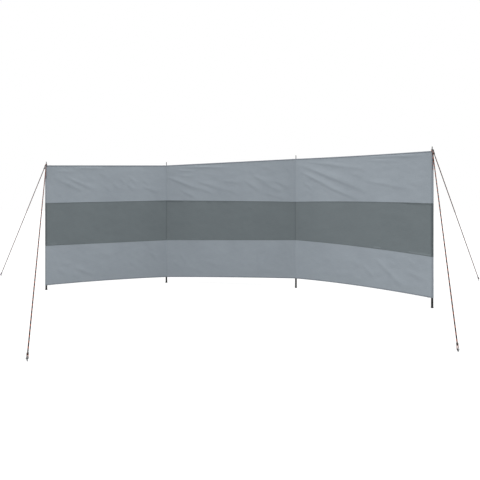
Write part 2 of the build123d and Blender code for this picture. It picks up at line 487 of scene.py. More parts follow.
class Finishes:
    """Every finish of the windbreak, built once.

    Attributes:
        by_slot: The material of each slot of the record.
        dark_thread, light_thread: Sewing threads.
        twine: Waxed twine of the whippings.
        brass: Plated brass of the eyelets.
    """

    def __init__(self) -> None:
        """Builds the materials."""
        looks = {
            # Woven polyester: matt and even, with level streaks of slubs and a faint sheen seen along it
            Slot.LIGHT_CLOTH: WovenCloth("woven polyester, light grey", "#8d959c", "#878f96", "#979ea5"),
            Slot.DARK_CLOTH: WovenCloth("woven polyester, slate grey", "#666e71", "#626a6d", "#6d7578"),
            # The hem is the band's own cloth; its darker colours are painted shade, for the cloth lying
            # double in it and for the roll's own shadow
            Slot.HEM_CLOTH: WovenCloth("woven polyester, turned hem, painted shade", "#7a8188", "#747b82", "#81888f"),
            # The sleeve is the bands' own cloth; its darker colour and darker stripe are painted shade of the
            # cloth turned round the pole
            Slot.SLEEVE_CLOTH: WovenCloth(
                "woven polyester, pole sleeve, painted shade", "#828990", "#7c838a", "#8a9198", stripe="#4f5659"
            ),
            # Zinc on drawn tube: a soft grey lustre, streaked along the pole
            Slot.POLE_STEEL: GrainedMetal(
                "zinc-plated steel tube", "#a9adb0", "#8d9194", 0.004, (0.5, 0.36), stretch=3.0
            ),
            # Turned steel gone brown-black in the open: it keeps only a dull highlight
            Slot.PIN_STEEL: GrainedMetal("dull turned steel pin", "#2e2f31", "#202122", 0.0015, (0.55, 0.42)),
            # Hot-dipped zinc: rough and pale, with flat crystals
            Slot.PEG_STEEL: GrainedMetal("galvanised steel rod", "#9c9e9f", "#7b7d7f", 0.003, (0.62, 0.48)),
            # Polypropylene: near black with a low gloss, greyed by sand
            Slot.FOOT_PLASTIC: MouldedPlastic(
                "moulded polypropylene ferrule", "#121213", "#302e2c", (0.5, 0.68)
            ),
            # Braided polypropylene: a dry, dark cord that orange flecks run round
            Slot.GUY_ROPE: BraidedCord("braided polypropylene cord", "#0c0a09", "#191513", "#a04c2a"),
        }
        self.by_slot = {slot: look.build() for slot, look in looks.items()}
        # Bonded polyester: a dull satin, close to the colour of its cloth
        self.dark_thread = Thread("polyester thread, slate", "#5e6669", "#666e71").build()
        self.light_thread = Thread("polyester thread, light grey", "#8f969d", "#979ea4").build()
        # Waxed twine: brown-black, with the dull satin of its wax
        self.twine = Thread("waxed polyester twine", "#2a2725", "#47403b").build()
        # Nickel over pressed brass: bright and smooth beside the cloth
        self.brass = GrainedMetal(
            "nickel-plated brass eyelet", "#b9b9b4", "#94948f", 0.002, (0.42, 0.3)
        ).build()


def mesh_object(name: str, points: Sequence, faces: Sequence, edges: Sequence = ()) -> Piece:
    """Makes a mesh object at the origin.

    Args:
        name: Name of the object.
        points: Corner points.
        faces: Faces, as lists of point numbers.
        edges: Edges, as pairs of point numbers, for a path.

    Returns:
        The object, linked to the scene.
    """
    mesh = bpy.data.meshes.new(name)
    mesh.from_pydata([tuple(p) for p in points], list(edges), list(faces))
    mesh.validate()
    made = bpy.data.objects.new(name, mesh)
    bpy.context.scene.collection.objects.link(made)
    return made


def frozen(source: Piece) -> Piece:
    """Replaces an object's modifiers by their result.

    Args:
        source: The object, which is removed.

    Returns:
        A plain mesh object of the same name, at the origin.
    """
    graph = bpy.context.evaluated_depsgraph_get()
    evaluated = source.evaluated_get(graph)
    mesh = bpy.data.meshes.new_from_object(evaluated, preserve_all_data_layers=True, depsgraph=graph)
    label = source.name
    old = source.data
    bpy.data.objects.remove(source)
    bpy.data.meshes.remove(old)
    made = bpy.data.objects.new(label, mesh)
    mesh.name = label
    bpy.context.scene.collection.objects.link(made)
    return made


@contextmanager
def edited(piece: Piece) -> Iterator[bmesh.types.BMesh]:
    """Opens a piece's mesh for changes, and writes them back at the end.

    Args:
        piece: The mesh object.

    Yields:
        The open mesh.
    """
    shell = bmesh.new()
    shell.from_mesh(piece.data)
    yield shell
    shell.to_mesh(piece.data)
    shell.free()


def closed_shell(piece: Piece) -> Piece:
    """Closes a mesh's open ends and points its faces outwards.

    Args:
        piece: The mesh object, which is changed.

    Returns:
        The same object.
    """
    with edited(piece) as shell:
        bmesh.ops.holes_fill(shell, edges=[e for e in shell.edges if e.is_boundary], sides=0)
        bmesh.ops.recalc_face_normals(shell, faces=shell.faces)
    return piece


def smoothed(piece: Piece, crease: float = 40.0) -> Piece:
    """Shades a mesh smooth, apart from its sharper edges.

    Args:
        piece: The mesh object, which is changed.
        crease: Angle in degrees from which an edge stays sharp.

    Returns:
        The same object.
    """
    for polygon in piece.data.polygons:
        polygon.use_smooth = True
    piece.data.set_sharp_from_angle(angle=math.radians(crease))
    return piece


def joined(pieces: Sequence[Piece], name: str) -> Piece:
    """Joins mesh objects into one.

    Args:
        pieces: The objects, which are used up.
        name: Name of the result.

    Returns:
        The joined object.
    """
    with bpy.context.temp_override(active_object=pieces[0], selected_editable_objects=list(pieces)):
        bpy.ops.object.join()
    pieces[0].name = name
    pieces[0].data.name = name
    return pieces[0]


def dressed(piece: Piece, material: Finish, node: str | None = None) -> Piece:
    """Gives a piece its one material, and lets it ride on the body.

    Args:
        piece: The finished mesh object.
        material: Its finish.
        node: The CAD node that the piece replaces, if it replaces one.

    Returns:
        The same object.
    """
    piece.data.materials.clear()
    piece.data.materials.append(material)
    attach(piece, BODY)
    if node:
        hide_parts(node)
    LOG.info("%s: %d faces", piece.name, len(piece.data.polygons))
    return piece


def running_length(points: Sequence[Sequence[float]]) -> np.ndarray:
    """Length along a line of points, from its first point to each of them."""
    return np.concatenate([[0], np.cumsum([math.dist(a, b) for a, b in zip(points, points[1:])])])


def sheet_from_grid(
    name: str, points: np.ndarray, uv: np.ndarray, marks: dict[str, np.ndarray] | None = None
) -> Piece:
    """Makes an open sheet from a grid of points, with its UV map in metres.

    Args:
        name: Name of the object.
        points: Grid of points, rows by columns by 3.
        uv: Grid of UV places, rows by columns by 2.
        marks: Named values for the material, each a grid of one number for each point.

    Returns:
        The sheet, one face thick.
    """
    rows, columns = points.shape[:2]
    index = np.arange(rows * columns).reshape(rows, columns)
    corners = np.stack([index[:-1, :-1], index[:-1, 1:], index[1:, 1:], index[1:, :-1]], axis=-1)
    made = mesh_object(name, points.reshape(-1, 3).tolist(), corners.reshape(-1, 4).tolist())
    layer = made.data.uv_layers.new(name=UV_MAP)
    loops = np.zeros(len(made.data.loops), dtype=np.int32)
    made.data.loops.foreach_get("vertex_index", loops)
    layer.data.foreach_set("uv", uv.reshape(-1, 2)[loops].ravel().astype(np.float32))
    for label, values in (marks or {}).items():
        mark = made.data.attributes.new(label, "FLOAT", "POINT")
        mark.data.foreach_set("value", values.reshape(-1).astype(np.float32))
    return made


def thickened(sheet: Piece, thickness: float) -> Piece:
    """Gives an open sheet its thickness, behind its faces, and closes its rim.

    Args:
        sheet: The open sheet, which is used up.
        thickness: Thickness of the cloth.

    Returns:
        The closed sheet as a plain mesh.
    """
    solid = sheet.modifiers.new("thickness", "SOLIDIFY")
    solid.thickness = thickness
    solid.offset = -1.0
    solid.use_even_offset = True
    return smoothed(frozen(sheet))


@dataclass(frozen=True)
class Fold:
    """A drag fold: a soft ridge from one point of a bay to another.

    Its start and end are given along the bay, and down from its top edge. above and below are the widths
    of its upper and lower slopes, which grow from narrow, at the start, by widening. ease is the power
    that rounds its two ends.
    """

    start_along: float
    start_down: float
    end_along: float
    end_down: float
    height: float
    above: float = 0.040
    below: float = 0.020
    narrow: float = 0.55
    widening: float = 0.6
    ease: float = 0.75

    def rise(self, along: np.ndarray, down: np.ndarray) -> np.ndarray:
        """Height of the fold above the flat cloth.

        Args:
            along: Places along the bay.
            down: Places below the top edge.

        Returns:
            The rise at each place.
        """
        run = math.hypot(self.end_along - self.start_along, self.end_down - self.start_down)
        towards = ((self.end_along - self.start_along) / run, (self.end_down - self.start_down) / run)
        share = ((along - self.start_along) * towards[0] + (down - self.start_down) * towards[1]) / run
        across = (along - self.start_along) * towards[1] - (down - self.start_down) * towards[0]
        inside = np.clip(share, 0, 1)
        width = np.where(across > 0, self.above, self.below) * (self.narrow + self.widening * inside)
        ends = np.clip(np.sin(math.pi * inside), 0, 1) ** self.ease
        return self.height * ends * np.exp(-((across / width) ** 2))


@dataclass(frozen=True)
class ClothBay:
    """One bay of cloth between two poles: three bands, two hems and their stitching.

    Folds grow from nothing at a pole to their full height at hold_reach from it. At the hems they have a
    share of least_slack, which grows to the whole over slack_reach. hem_lap is the share of a hem that the
    cloth is left out behind. A seam's lap is darkened by lap_shade, as painted shade of the cloth that lies
    double there, and the cloth over a pole by each band's own depth, as painted shade of the pole seen
    through it. hem_row, as a share of the hem, and seam_rows are how far rows of sewing lie from their
    edge. Stands are how far a thread's middle is from the plain cloth, on the sheltered and on the
    windward face.
    """

    layout: Layout
    number: int
    folds: tuple[Fold, ...]
    column_step: float = 0.010
    rim: float = 0.0008
    seam_width: float = 0.010
    seam_relief: float = 0.0007
    ripple: float = 0.0013
    thickness: float = 0.0014
    hold_reach: float = 0.07
    slack_reach: float = 0.05
    least_slack: float = 0.25
    hem_lap: float = 0.6
    hem_sunk: float = 0.0006
    row_margin: float = 0.002
    hem_row: float = 0.8
    hem_stands: tuple[float, float] = (0.0014, 0.0008)
    seam_rows: tuple[float, float] = (0.0022, 0.0082)
    seam_stands: tuple[float, float] = (0.0009, -0.0003)
    lap_shade: float = 0.29
    pole_shade_half: float = 0.0115
    pole_shade_fade: float = 0.003

    @property
    def length(self) -> float:
        """Length of the bay, pole axis to pole axis."""
        return self.layout.bay_lengths[self.number]

    def mitre(self, offset: float) -> tuple[float, float]:
        """Where a face at an offset from the pole axes starts and ends along the bay."""
        start = offset * math.tan(self.layout.half_turn(self.number))
        return start, self.length - offset * math.tan(self.layout.half_turn(self.number + 1))

    def edge_height(self, edge: Edge, along: np.ndarray) -> np.ndarray:
        """Height of a sewn edge, with its bow.

        Args:
            edge: The edge.
            along: Places along the bay.

        Returns:
            The edge's height at each place.
        """
        first, second = (self.layout.level(edge, self.number + i) for i in (0, 1))
        bow = self.layout.bows[edge.value][self.number]
        share = np.asarray(along) / self.length
        return first + (second - first) * share + bow * 4 * share * (1 - share)

    def relief(self, along: np.ndarray, height: np.ndarray) -> np.ndarray:
        """How far the cloth stands in front of its flat place.

        Args:
            along: Places along the bay.
            height: Heights above the ground.

        Returns:
            The offset towards the sheltered side at each place.
        """
        down = self.edge_height(Edge.HEM_TOP, along) - height
        rise = sum(fold.rise(along, down) for fold in self.folds)
        start, end = self.mitre(self.layout.cloth_front)
        from_poles = np.clip(np.minimum(along - start, end - along) / self.hold_reach, 0, 1)
        hold = from_poles * from_poles * (3 - 2 * from_poles)
        top = np.clip(down / self.slack_reach, 0, 1)
        bottom = np.clip((height - self.edge_height(Edge.HEM_BOTTOM, along)) / self.slack_reach, 0, 1)
        slack = self.least_slack + (1 - self.least_slack) * np.minimum(top, bottom)
        seed = 11.0 * (self.number + 1)
        # Slanting ripples, longer than they are high, with smaller crumples over them
        small = [
            noise.noise(Vector((s * 5.0 + z * 3.5 + seed, (z * 1.8 - s * 0.35) * 9.0, seed)))
            + 0.7 * noise.noise(Vector((s * 12.0 + seed, z * 18.0 + s * 6.0, seed + 3.0)))
            for s, z in zip(along.ravel(), height.ravel())
        ]
        return hold * slack * (rise + self.ripple * np.array(small).reshape(along.shape))

    def points(self, share: np.ndarray, height: np.ndarray, offset: np.ndarray) -> np.ndarray:
        """Places on the bay's surface.

        Args:
            share: Share of the way from one pole to the next.
            height: Heights above the ground.
            offset: Distance in front of the pole axes, before folds.

        Returns:
            The points, with a last axis of 3.
        """
        start, end = self.mitre(1.0)
        along = offset * start + (self.length - offset * (self.length - end) - offset * start) * share
        turn = self.layout.bay_headings[self.number]
        out = (offset + self.relief(along, height))[..., None] * np.array(heading(turn - 90.0))
        base = np.array(self.layout.poles[self.number]) + along[..., None] * np.array(heading(turn)) + out
        base[..., 2] = height
        return base

    def columns(self) -> np.ndarray:
        """Shares along the bay of a mesh's columns, close together at the two ends."""
        rim = self.rim / self.length
        inner = np.linspace(rim, 1 - rim, round(self.length / self.column_step))
        return np.concatenate([[0.0], inner, [1.0]])

    def band(self, name: str, low: Edge, high: Edge, row_step: float, pole_shadow: float) -> Piece:
        """One band of cloth, between two sewn edges.

        Args:
            name: Name of the band's piece.
            low: Its lower edge.
            high: Its upper edge.
            row_step: Height of the mesh's rows.
            pole_shadow: Depth of painted shade where the cloth lies double over a pole, and of the pole's
                painted shadow through it, from 0 to 1.

        Returns:
            The closed sheet.
        """
        layout = self.layout
        share = self.columns()
        start, end = self.mitre(layout.cloth_front)
        along = start + (end - start) * share
        covered = layout.hem_height * self.hem_lap
        bottom = self.edge_height(low, along) + (covered if low is Edge.HEM_BOTTOM else 0.0)
        top = self.edge_height(high, along) - (covered if high is Edge.HEM_TOP else 0.0)
        size = float(np.mean(top - bottom))
        close = np.array([0.0, self.rim, self.seam_width])
        seam = self.seam_width + self.rim
        inner = np.linspace(seam, size - seam, round((size - 2 * seam) / row_step))
        upwards = np.concatenate([close, inner, size - close[::-1]]) / size
        level = bottom[None, :] + (top - bottom)[None, :] * upwards[:, None]
        lap = np.zeros(len(upwards))
        if (low, high) == (Edge.LOWER_SEAM, Edge.UPPER_SEAM):
            from_edge = np.minimum(upwards, 1 - upwards) * size
            lap = np.clip((seam - from_edge) / self.rim, 0, 1)
        offset = np.full(level.shape, layout.cloth_front) + lap[:, None] * self.seam_relief
        points = self.points(np.broadcast_to(share, level.shape), level, offset)
        uv = np.stack([np.broadcast_to(along, level.shape), level], axis=-1)
        # Painted shade: darker over a pole, for its shadow through the cloth, and on a seam's lap, for the
        # doubled cloth
        near = np.minimum(along, self.length - along)
        painted_pole_shadow = pole_shadow * np.clip((self.pole_shade_half - near) / self.pole_shade_fade, 0, 1)
        painted_shade = np.maximum(np.broadcast_to(painted_pole_shadow, level.shape), self.lap_shade * lap[:, None])
        return thickened(sheet_from_grid(name, points, uv, {"painted_cloth_shade": painted_shade}), self.thickness)

    def hem(self, name: str, edge: Edge) -> Piece:
        """The turned hem along the top or the bottom: a flat roll of cloth with round edges.

        Args:
            name: Name of the hem's piece.
            edge: The edge that it closes.

        Returns:
            The closed hem.
        """
        layout = self.layout
        share = self.columns()[::2]
        start, end = self.mitre(layout.cloth_front)
        along = start + (end - start) * share
        half = layout.hem_height / 2
        middle = self.edge_height(edge, along) + (-half if edge is Edge.HEM_TOP else half)
        front = layout.cloth_front + layout.hem_proud
        back = layout.cloth_back - self.hem_sunk
        radius = (front - back) / 2
        section = []
        for side, centre in ((1, half - radius), (-1, radius - half)):
            for step in range(5):
                angle = math.radians(90.0 * (1 - side) + 45.0 * step)
                out = (front + back) / 2 + radius * math.cos(angle)
                section.append((out, centre + radius * math.sin(angle)))
        loop = section + section[:1]
        level = np.stack([middle + up for _, up in loop])
        offset = np.stack([np.full(len(share), out) for out, _ in loop])
        wide = level.shape
        points = self.points(np.broadcast_to(share, wide), np.broadcast_to(middle, wide), offset)
        points[..., 2] = level
        round_it = np.broadcast_to(running_length(loop)[:, None], wide)
        made = sheet_from_grid(name, points, np.stack([np.broadcast_to(along, wide), round_it], axis=-1))
        with edited(made) as shell:
            bmesh.ops.remove_doubles(shell, verts=shell.verts, dist=1e-5)
        return smoothed(closed_shell(made))

    def row(self, edge: Edge, shift: float, face: Face, stand: float) -> Path:
        """A row of sewing along an edge.

        Args:
            edge: The edge that the row follows.
            shift: Height of the row above the edge.
            face: The face of the cloth that it is on.
            stand: Distance of the thread's middle in front of that face's plain cloth.

        Returns:
            Points of the row.
        """
        count = 2 * round(self.length / self.column_step)
        share = np.linspace(self.row_margin, 1 - self.row_margin, count)
        front, back = self.layout.cloth_front, self.layout.cloth_back
        base = front + stand if face is Face.FRONT else back - stand
        start, end = self.mitre(base)
        level = self.edge_height(edge, start + (end - start) * share) + shift
        return [Vector(p) for p in self.points(share, level, np.full(len(share), base))]

    def rows(
        self, low: Edge, high: Edge, shifts: Sequence[float], stands: tuple[float, float]
    ) -> list[Path]:
        """Rows of sewing above one edge and below another, on both faces.

        Args:
            low: The edge that rows lie above.
            high: The edge that rows lie below.
            shifts: Distance of each row from its edge.
            stands: Distance of the thread's middle from the plain cloth on each face.

        Returns:
            Points of each row.
        """
        return [
            self.row(edge, sign * shift, face, stand)
            for edge, sign in ((low, 1), (high, -1))
            for shift in shifts
            for face, stand in zip(Face, stands)
        ]


class PathTool:
    """A Geometry Nodes tree that makes a piece along the edges of a path mesh."""

    def __init__(self, name: str, inputs: dict[str, str]) -> None:
        """Starts the tree and turns its path into curves.

        Args:
            name: The tree's name.
            inputs: Kind of socket of each further input, by the input's name.
        """
        self.tree = bpy.data.node_groups.new(name, "GeometryNodeTree")
        for label, kind in {"Path": "Geometry", **inputs, "Finish": "Material"}.items():
            self.tree.interface.new_socket(label, in_out="INPUT", socket_type=f"NodeSocket{kind}")
        self.tree.interface.new_socket("Piece", in_out="OUTPUT", socket_type="NodeSocketGeometry")
        self.add = partial(add_node, self.tree)
        self.given = self.add("NodeGroupInput").outputs
        self.curves = self.add("GeometryNodeMeshToCurve", {"Mesh": self.given["Path"]})

    def close(self, made: Node) -> None:
        """Ends the tree with real geometry, shaded smooth, in its finish.

        Args:
            made: The node that gives the piece's geometry.
        """
        real = self.add("GeometryNodeRealizeInstances", {"Geometry": made})
        smooth = self.add("GeometryNodeSetShadeSmooth", {"Geometry": real})
        inputs = {"Geometry": smooth, "Material": self.given["Finish"]}
        self.add("NodeGroupOutput", {"Piece": self.add("GeometryNodeSetMaterial", inputs)})

    def run(self, name: str, paths: Sequence[Sequence[Vector]], values: dict[str, Any]) -> Piece:
        """Runs the tree and keeps its result as a plain mesh.

        Args:
            name: Name of the piece.
            paths: Points of each path.
            values: The tree's input values, by the names of its inputs.

        Returns:
            The plain mesh object.
        """
        points: Path = []
        edges: list[tuple[int, int]] = []
        for path in paths:
            first = len(points)
            points.extend(path)
            edges.extend((i, i + 1) for i in range(first, len(points) - 1))
        source = mesh_object(name, points, [], edges)
        modifier = source.modifiers.new("build", "NODES")
        modifier.node_group = self.tree
        for item in self.tree.interface.items_tree:
            if item.in_out == "INPUT" and item.name in values:
                modifier[item.identifier] = values[item.name]
        return frozen(source)


class Sewing(PathTool):
    """Rows of stitches, one thread to a piece.

    Attributes:
        pitch: Distance from stitch to stitch, drawn at about twice the real one so that it shows.
        length: Length of a stitch.
        width: Thickness of the thread.
    """

    pitch = 0.0056
    length = 0.0043
    width = 0.0007

    def __init__(self) -> None:
        """Builds the tree that lays stitches along the edges of a path mesh."""
        floats = dict.fromkeys(("Stitch Pitch", "Stitch Length", "Thread Width"), "Float")
        super().__init__("stitch row", floats)
        add, given = self.add, self.given
        inputs = {"Curve": self.curves, "Length": given["Stitch Pitch"]}
        places = add("GeometryNodeResampleCurve", inputs, mode="LENGTH")
        bead = add("GeometryNodeMeshUVSphere", {"Segments": 5, "Rings": 4, "Radius": 0.5})
        width = given["Thread Width"]
        size = add("ShaderNodeCombineXYZ", [width, width, given["Stitch Length"]])
        stitch = add("GeometryNodeTransform", {"Geometry": bead, "Scale": size})
        tangent = add("GeometryNodeInputTangent")
        turned = add("FunctionNodeAlignRotationToVector", {"Vector": tangent}, axis="Z")
        limits = {"Min": (-0.06, -0.06, 0.0), "Max": (0.06, 0.06, 0.0), "Seed": 5}
        jitter = add("FunctionNodeRandomValue", limits, data_type="FLOAT_VECTOR")
        tilt = add("FunctionNodeEulerToRotation", [jitter])
        inputs = {"Rotation": turned, "Rotate By": tilt}
        laid = add("FunctionNodeRotateRotation", inputs, rotation_space="LOCAL")
        inputs = {"Points": places, "Instance": stitch, "Rotation": laid}
        self.close(add("GeometryNodeInstanceOnPoints", inputs))

    def sew(self, name: str, rows: Sequence[Path], thread: Finish) -> Piece:
        """Sews rows of stitches.

        Args:
            name: Name of the piece.
            rows: Points of each row.
            thread: Material of the thread.

        Returns:
            The stitches as one plain mesh.
        """
        sizes = {"Stitch Pitch": self.pitch, "Stitch Length": self.length, "Thread Width": self.width}
        return self.run(name, rows, {**sizes, "Finish": thread})


class CordMaker(PathTool):
    """Cords, twine and bent rods, with a round or plaited section."""

    plaits = 3
    plait_pitch = 0.012

    def __init__(self) -> None:
        """Builds the tree that draws a section along the edges of a path mesh."""
        floats = dict.fromkeys(("Cord Radius", "Ring Spacing", "Plait Depth", "Plait Pitch"), "Float")
        super().__init__("cord on a path", {**floats, "Sides": "Int", "Plaits": "Int"})
        add, given = self.add, self.given
        inputs = {"Curve": self.curves, "Length": given["Ring Spacing"]}
        lay = self.captured(add("GeometryNodeResampleCurve", inputs, mode="LENGTH"), "Length")
        # The arc's two ends meet, so it has one point more than sides
        count = add("ShaderNodeMath", [given["Sides"], 1.0], operation="ADD")
        inputs = {"Resolution": count, "Radius": given["Cord Radius"], "Sweep Angle": 2 * math.pi}
        turn = self.captured(add("GeometryNodeCurveArc", inputs, mode="RADIUS"), "Factor")
        tube = add("GeometryNodeCurveToMesh", {"Curve": lay, "Profile Curve": turn})
        round_it, along = turn.outputs[1], lay.outputs[1]
        waves = [
            winding(add, round_it, along, given["Plaits"], given["Plait Pitch"], hand) for hand in (1, -1)
        ]
        crossing = add("ShaderNodeMath", waves, operation="MULTIPLY")
        plait = add("ShaderNodeMath", [crossing, given["Plait Depth"]], operation="MULTIPLY")
        normal = add("GeometryNodeInputNormal")
        shift = add("ShaderNodeVectorMath", {"Vector": normal, "Scale": plait}, operation="SCALE")
        plaited = add("GeometryNodeSetPosition", {"Geometry": tube, "Offset": shift})
        place = add("ShaderNodeCombineXYZ", [round_it, along])
        inputs = {"Geometry": plaited, "Name": UV_MAP, "Value": place}
        mapped = add("GeometryNodeStoreNamedAttribute", inputs, data_type="FLOAT2", domain="CORNER")
        self.close(add("GeometryNodeMergeByDistance", {"Geometry": mapped, "Distance": 2e-5}))

    def captured(self, curve: Node, output: str) -> Node:
        """Captures a curve's own length or factor before it becomes a mesh.

        Args:
            curve: The curve's node.
            output: "Length" or "Factor".

        Returns:
            The Capture Attribute node, with the curve as its first output and the value as its second.
        """
        place = self.add("GeometryNodeSplineParameter").outputs[output]
        kept = self.add("GeometryNodeCaptureAttribute", [curve])
        kept.capture_items.new("FLOAT", output)
        self.tree.links.new(place, kept.inputs[1])
        return kept

    def draw(
        self, name: str, paths: Sequence[Path], size: float, finish: Finish, spacing: float, sides: int,
        depth: float = 0.0,
    ) -> Piece:
        """Draws cords along paths.

        Args:
            name: Name of the piece.
            paths: Points of each path.
            size: Diameter of the cord.
            finish: Its material.
            spacing: Distance between rings of the mesh.
            sides: Number of sides of the section.
            depth: Relief of the plaits.

        Returns:
            The closed cords as one plain mesh.
        """
        values = {
            "Cord Radius": size / 2 - depth,
            "Ring Spacing": spacing,
            "Plait Depth": depth,
            "Plait Pitch": self.plait_pitch,
            "Sides": sides,
            "Plaits": self.plaits,
            "Finish": finish,
        }
        return closed_shell(self.run(name, paths, values))


def rounded_path(corners: Sequence[Vector], radii: Sequence[float], step: float = 12.0) -> Path:
    """A path of straight runs with an arc at each inner corner.

    Args:
        corners: First point, corners and last point.
        radii: Radius of the arc at each inner corner.
        step: Turn between points of an arc, in degrees.

    Returns:
        Points along the path.
    """
    path = [corners[0].copy()]
    for index, radius in enumerate(radii):
        before, corner, after = corners[index : index + 3]
        inward = (before - corner).normalized()
        outward = (after - corner).normalized()
        turn = math.pi - inward.angle(outward)
        centre = corner + (inward + outward).normalized() * (radius / math.cos(turn / 2))
        spoke = corner + inward * radius * math.tan(turn / 2) - centre
        axis = inward.cross(outward).normalized()
        count = max(2, round(math.degrees(turn) / step))
        for part in range(count + 1):
            path.append(centre + Matrix.Rotation(-turn * part / count, 3, axis) @ spoke)
    path.append(corners[-1].copy())
    return path


def wound_path(
    middle: Vector, axis: Vector, side: Vector, size: tuple[float, float], length: float, pitch: float
) -> Path:
    """A close winding of twine round one or two cords.

    Args:
        middle: Start of the winding, on its axis.
        axis: Direction that it runs in.
        side: Direction of its wider half.
        size: Half width along side, and half depth across it.
        length: Length of the winding.
        pitch: Advance at each turn.

    Returns:
        Points along the twine.
    """
    depth = axis.cross(side).normalized()
    straight = size[0] - size[1]
    per_turn = 16
    steps = max(2, round(length / pitch)) * per_turn
    path = []
    for index in range(steps + 1):
        angle = 2 * math.pi * index / per_turn
        across = side * (size[1] * math.cos(angle) + math.copysign(straight, math.cos(angle)))
        path.append(middle + across + depth * (size[1] * math.sin(angle)) + axis * (length * index / steps))
    return path


@dataclass(frozen=True)
class GuyRope:
    """One guy rope: its eye over a pin, its taut run, its eye round a peg, the twine, and the peg.

    turn_in is the share of an eye's own half width that its corners are rounded by, and peg_sunk is how
    far the peg's rod is drawn below ground before it is cut off there.
    """

    layout: Layout
    name: str
    heading: float
    reach: float
    lower_eye: bool
    tailed: bool
    rope: float = 0.009
    eye_rope: float = 0.0056
    gap: float = 0.0003
    pin: float = 0.008
    peg: float = 0.007
    pin_eye: float = 0.046
    peg_eye: float = 0.032
    turn_in: float = 0.95
    binding_length: float = 0.016
    strand_gap: float = 0.0006
    twine: float = 0.0014
    tail: float = 0.150
    peg_catch: float = 0.024
    peg_neck: float = 0.015
    peg_sunk: float = 0.006
    hook_radius: float = 0.009
    hook_tip: float = 0.010

    def route(self) -> dict[str, Path]:
        """Works out the rope's, the twine's and the peg's points, as the CAD source does.

        Returns:
            The points of each path, by name.
        """
        layout = self.layout
        end = 0 if self.name.startswith("left") else -1
        pole = layout.poles[end]
        radius = self.rope / 2
        out = heading(self.heading)
        side = UP.cross(out)
        peg_foot = pole + out * self.reach
        ring = layout.level(Edge.HEM_TOP, end) + radius + self.gap
        if not self.lower_eye:
            ring += self.rope + self.gap
        bend = pole + out * (layout.cloth_front + layout.hem_proud + radius) + UP * ring
        slope = math.atan2(ring, (peg_foot - bend).dot(out))
        # The peg leans square to the rope, and the rope's slope depends on the peg's lean
        for _ in range(8):
            lean = out * math.sin(slope) + UP * math.cos(slope)
            catch = peg_foot + lean * self.peg_catch
            slope = math.atan2(bend.z - catch.z, (catch - bend).dot(out))
        down = (catch - bend).normalized()
        pin_eye = (self.pin + self.eye_rope) / 2 + self.gap
        peg_eye = (self.peg + self.eye_rope) / 2 + self.gap
        upper = bend + down * self.pin_eye
        lower = catch - down * self.peg_eye
        behind_pin = pole + UP * ring - out * pin_eye
        below_rod = catch + down * peg_eye
        beside = side * (self.eye_rope + self.strand_gap) / 2
        bite = down * (self.binding_length / 4)
        neck = catch + lean * self.peg_neck
        hooked = neck + down * self.hook_radius * 2
        around_pin = [
            upper + beside + bite,
            bend + side * pin_eye,
            behind_pin + side * pin_eye,
            behind_pin - side * pin_eye,
            bend - side * pin_eye,
            upper - beside + bite,
        ]
        around_peg = [
            lower + beside - bite,
            below_rod + side * peg_eye,
            below_rod - side * peg_eye,
            lower - beside - bite,
        ]
        rod = [
            peg_foot - lean * self.peg_sunk,
            neck + lean * self.hook_radius,
            hooked + lean * self.hook_radius,
            hooked - lean * self.hook_tip,
        ]
        across = (beside.length + (self.eye_rope + self.twine) / 2, (self.rope + self.twine) / 2)
        pin_turn, peg_turn = pin_eye * self.turn_in, peg_eye * self.turn_in
        return {
            "pin_eye": rounded_path(around_pin, [self.rope, pin_turn, pin_turn, self.rope]),
            "run": [upper + bite, lower - bite],
            "peg_eye": rounded_path(around_peg, [peg_turn] * 2),
            "tail": [upper + bite * 2, upper + bite * 2 - UP * self.tail],
            "upper_twine": wound_path(upper, down, side, across, self.binding_length, self.twine),
            "lower_twine": wound_path(lower, -down, side, across, self.binding_length, self.twine),
            # A hair under the hook's own radius, so that its two arcs never overlap
            "peg": rounded_path(rod, [self.hook_radius * 0.999] * 2),
        }

    def build(self, maker: CordMaker, finishes: Finishes) -> None:
        """Builds the rope with its twine, and the peg.

        Args:
            maker: Draws cords on paths.
            finishes: The finishes.
        """
        route = self.route()
        slim = [route[part] for part in ("pin_eye", "peg_eye", "tail") if part != "tail" or self.tailed]
        cord = finishes.by_slot[Slot.GUY_ROPE]
        label = f"rope_{self.name}"
        run = maker.draw(
            f"{label}_run", [route["run"]], self.rope, cord, spacing=0.0025, sides=12, depth=0.0003
        )
        eyes = maker.draw(f"{label}_eyes", slim, self.eye_rope, cord, spacing=0.0018, sides=10, depth=0.0002)
        dressed(joined([run, eyes], label), cord, f"guy_rope_{self.name}")
        wound = [route["upper_twine"], route["lower_twine"]]
        twine = maker.draw(
            f"rope_twine_{self.name}", wound, self.twine, finishes.twine, spacing=0.0022, sides=6
        )
        dressed(twine, finishes.twine)
        steel = finishes.by_slot[Slot.PEG_STEEL]
        peg = maker.draw(f"peg_{self.name}", [route["peg"]], self.peg, steel, spacing=0.002, sides=16)
        with edited(peg) as shell:
            every = [*shell.verts, *shell.edges, *shell.faces]
            bmesh.ops.bisect_plane(shell, geom=every, plane_co=(0, 0, 0), plane_no=UP, clear_inner=True)
        dressed(smoothed(closed_shell(peg)), steel, f"ground_peg_{self.name}")


